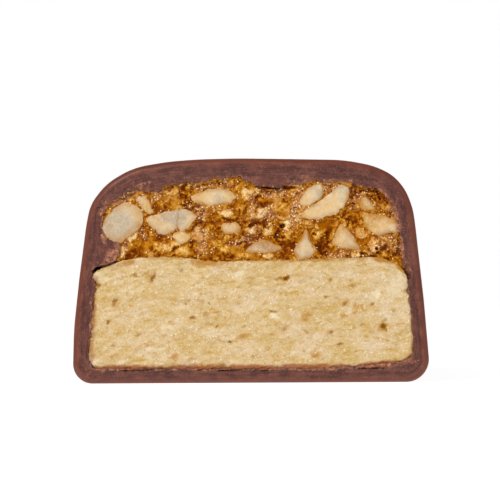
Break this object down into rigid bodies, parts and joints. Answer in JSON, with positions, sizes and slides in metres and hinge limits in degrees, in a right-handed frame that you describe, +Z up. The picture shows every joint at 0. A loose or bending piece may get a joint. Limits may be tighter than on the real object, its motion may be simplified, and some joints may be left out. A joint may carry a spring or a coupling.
{
  "type": "protein bar",
  "caption": "Half of a chocolate-coated protein bar, cut across to show pale dough under nut and crisp caramel.",
  "frame": {"origin": "middle of the part's bounding box in plan, on the plane of the flat base", "axes": "+Z up; the bar lies along Y, with its cut face towards -Y and its coated end towards +Y; +X is to the right seen from the cut"},
  "size_m": [0.0309, 0.054, 0.0195],
  "materials": {
    "chocolate": "satin milk chocolate",
    "dough": "matt, fine-pored dough",
    "caramel": "glossy, rough broken caramel",
    "nut": "smooth cut nut"
  },
  "bodies": {
    "root": {"coating": "chocolate", "dough": "dough", "caramel": "caramel", "nut_large": "nut", "nut_chip_left": "nut", "nut_split_left": "nut", "nut_split_right": "nut", "nut_lens_top": "nut", "nut_bit_left": "nut", "nut_bit_middle": "nut", "nut_lens_low": "nut", "nut_sliver_short": "nut", "nut_sliver_long": "nut", "nut_wedge_left": "nut", "nut_wedge_right": "nut", "nut_chip_right": "nut", "nut_right": "nut"}
  },
  "joints": []
}
